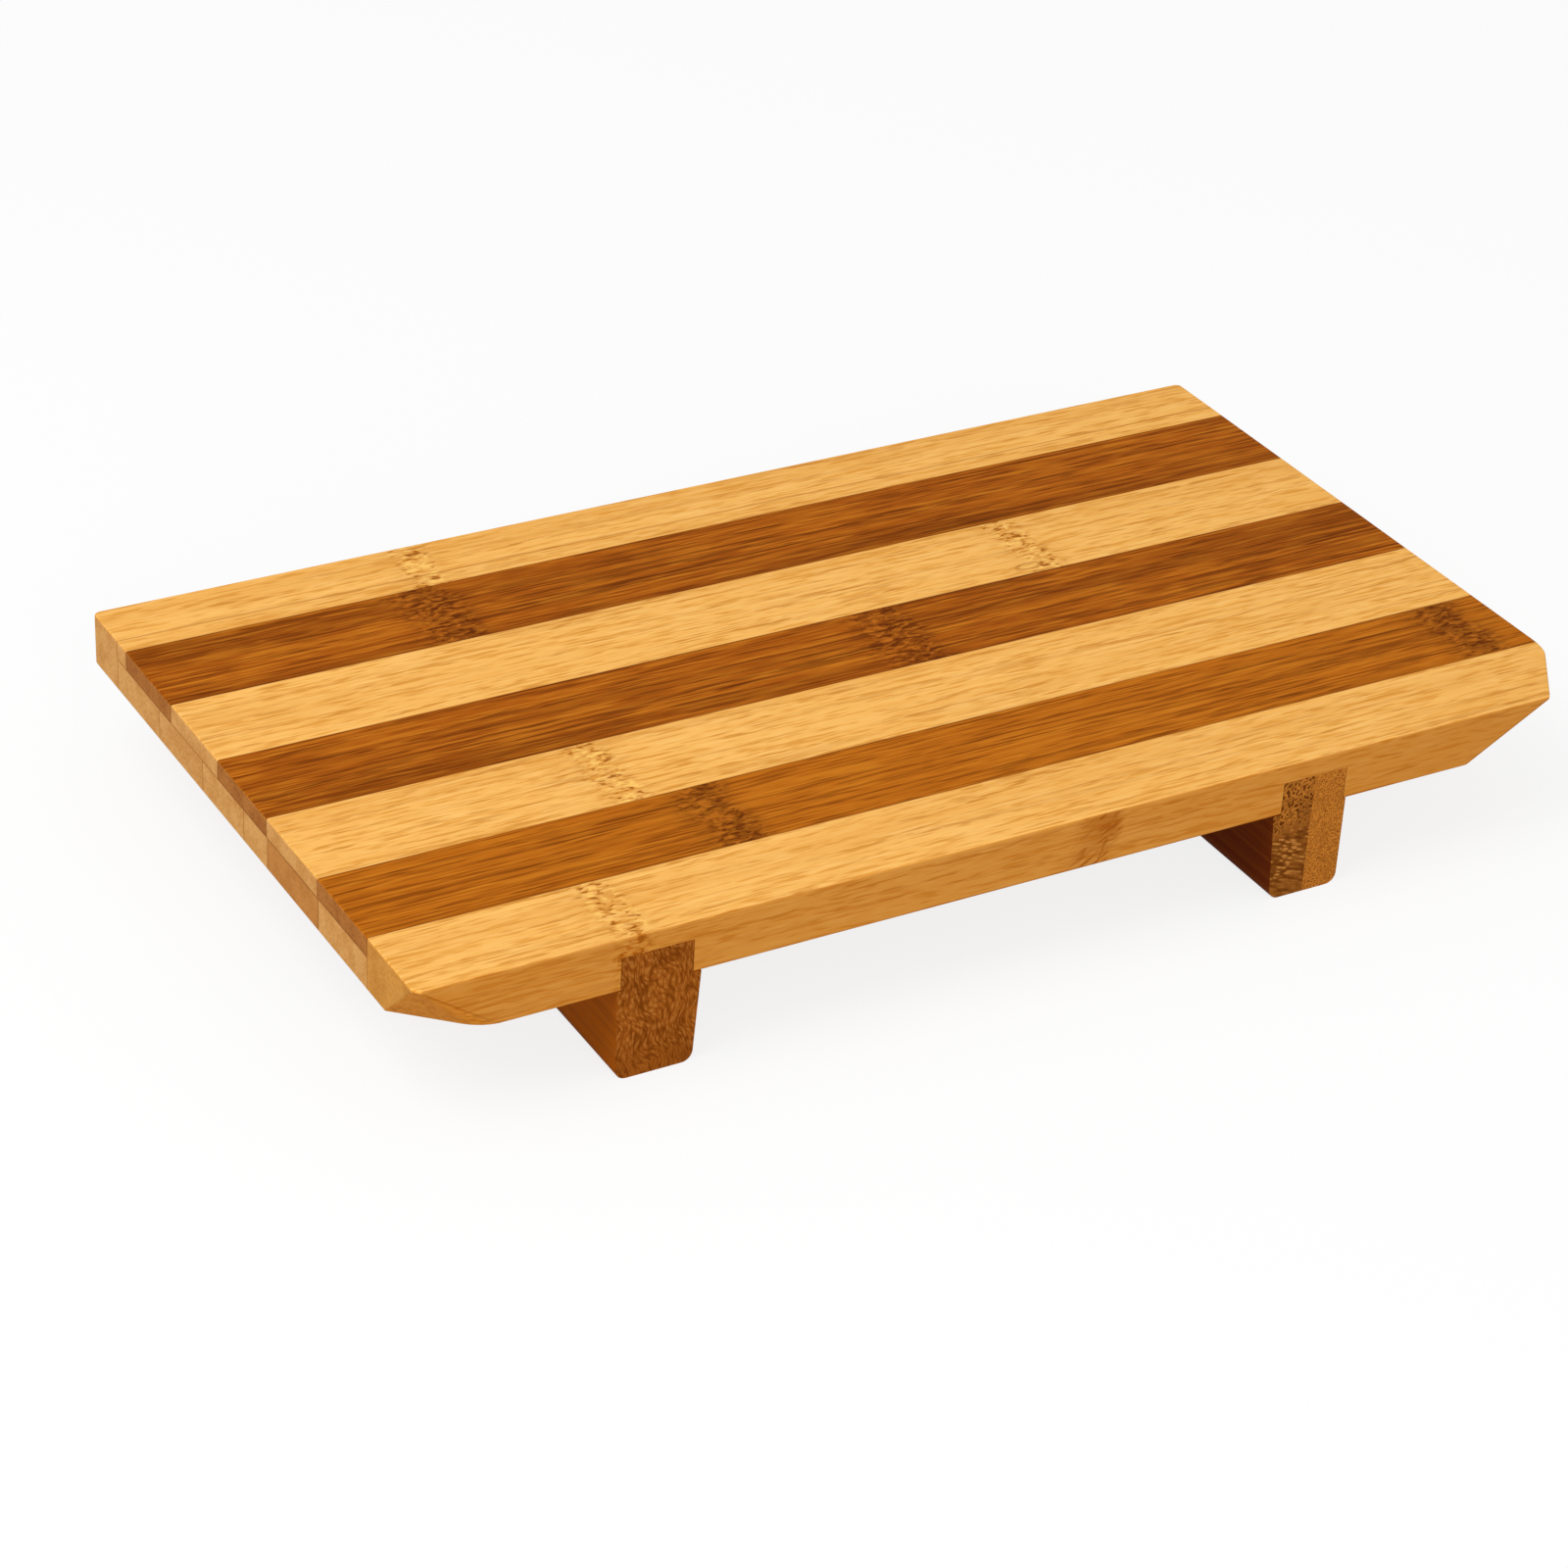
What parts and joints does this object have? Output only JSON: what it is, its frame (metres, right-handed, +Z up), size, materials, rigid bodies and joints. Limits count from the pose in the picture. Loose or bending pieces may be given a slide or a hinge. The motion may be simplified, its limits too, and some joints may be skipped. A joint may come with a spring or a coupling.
{
  "type": "sushi geta board",
  "caption": "Rectangular striped bamboo serving board of light and dark glued slats, standing on housed feet set back from its ends, with its front under-corners cut away.",
  "frame": {"origin": "under the middle of the board, on the surface that the feet stand on", "axes": "+X along the board to the right, +Y towards its back edge, +Z up"},
  "size_m": [0.27, 0.1562, 0.0316],
  "materials": {
    "bamboo_light": "oiled natural bamboo",
    "bamboo_dark": "oiled carbonised bamboo",
    "bamboo_foot": "oiled bamboo, end grain at the front and back"
  },
  "bodies": {
    "root": {"slat_back_edge": "bamboo_light", "slat_front_edge": "bamboo_light", "top_slat_1": "bamboo_light", "top_slat_2": "bamboo_dark", "top_slat_3": "bamboo_light", "top_slat_4": "bamboo_dark", "top_slat_5": "bamboo_light", "top_slat_6": "bamboo_dark", "lower_slat_left_1": "bamboo_light", "lower_slat_middle_1": "bamboo_light", "lower_slat_right_1": "bamboo_light", "lower_slat_left_2": "bamboo_light", "lower_slat_middle_2": "bamboo_light", "lower_slat_right_2": "bamboo_light", "lower_slat_left_3": "bamboo_light", "lower_slat_middle_3": "bamboo_light", "lower_slat_right_3": "bamboo_light", "lower_slat_left_4": "bamboo_light", "lower_slat_middle_4": "bamboo_light", "lower_slat_right_4": "bamboo_light", "lower_slat_left_5": "bamboo_dark", "lower_slat_middle_5": "bamboo_dark", "lower_slat_right_5": "bamboo_dark", "lower_slat_left_6": "bamboo_light", "lower_slat_middle_6": "bamboo_light", "lower_slat_right_6": "bamboo_light", "foot_left_outer": "bamboo_foot", "foot_left_inner": "bamboo_foot", "foot_right_outer": "bamboo_foot", "foot_right_inner": "bamboo_foot"}
  },
  "joints": []
}
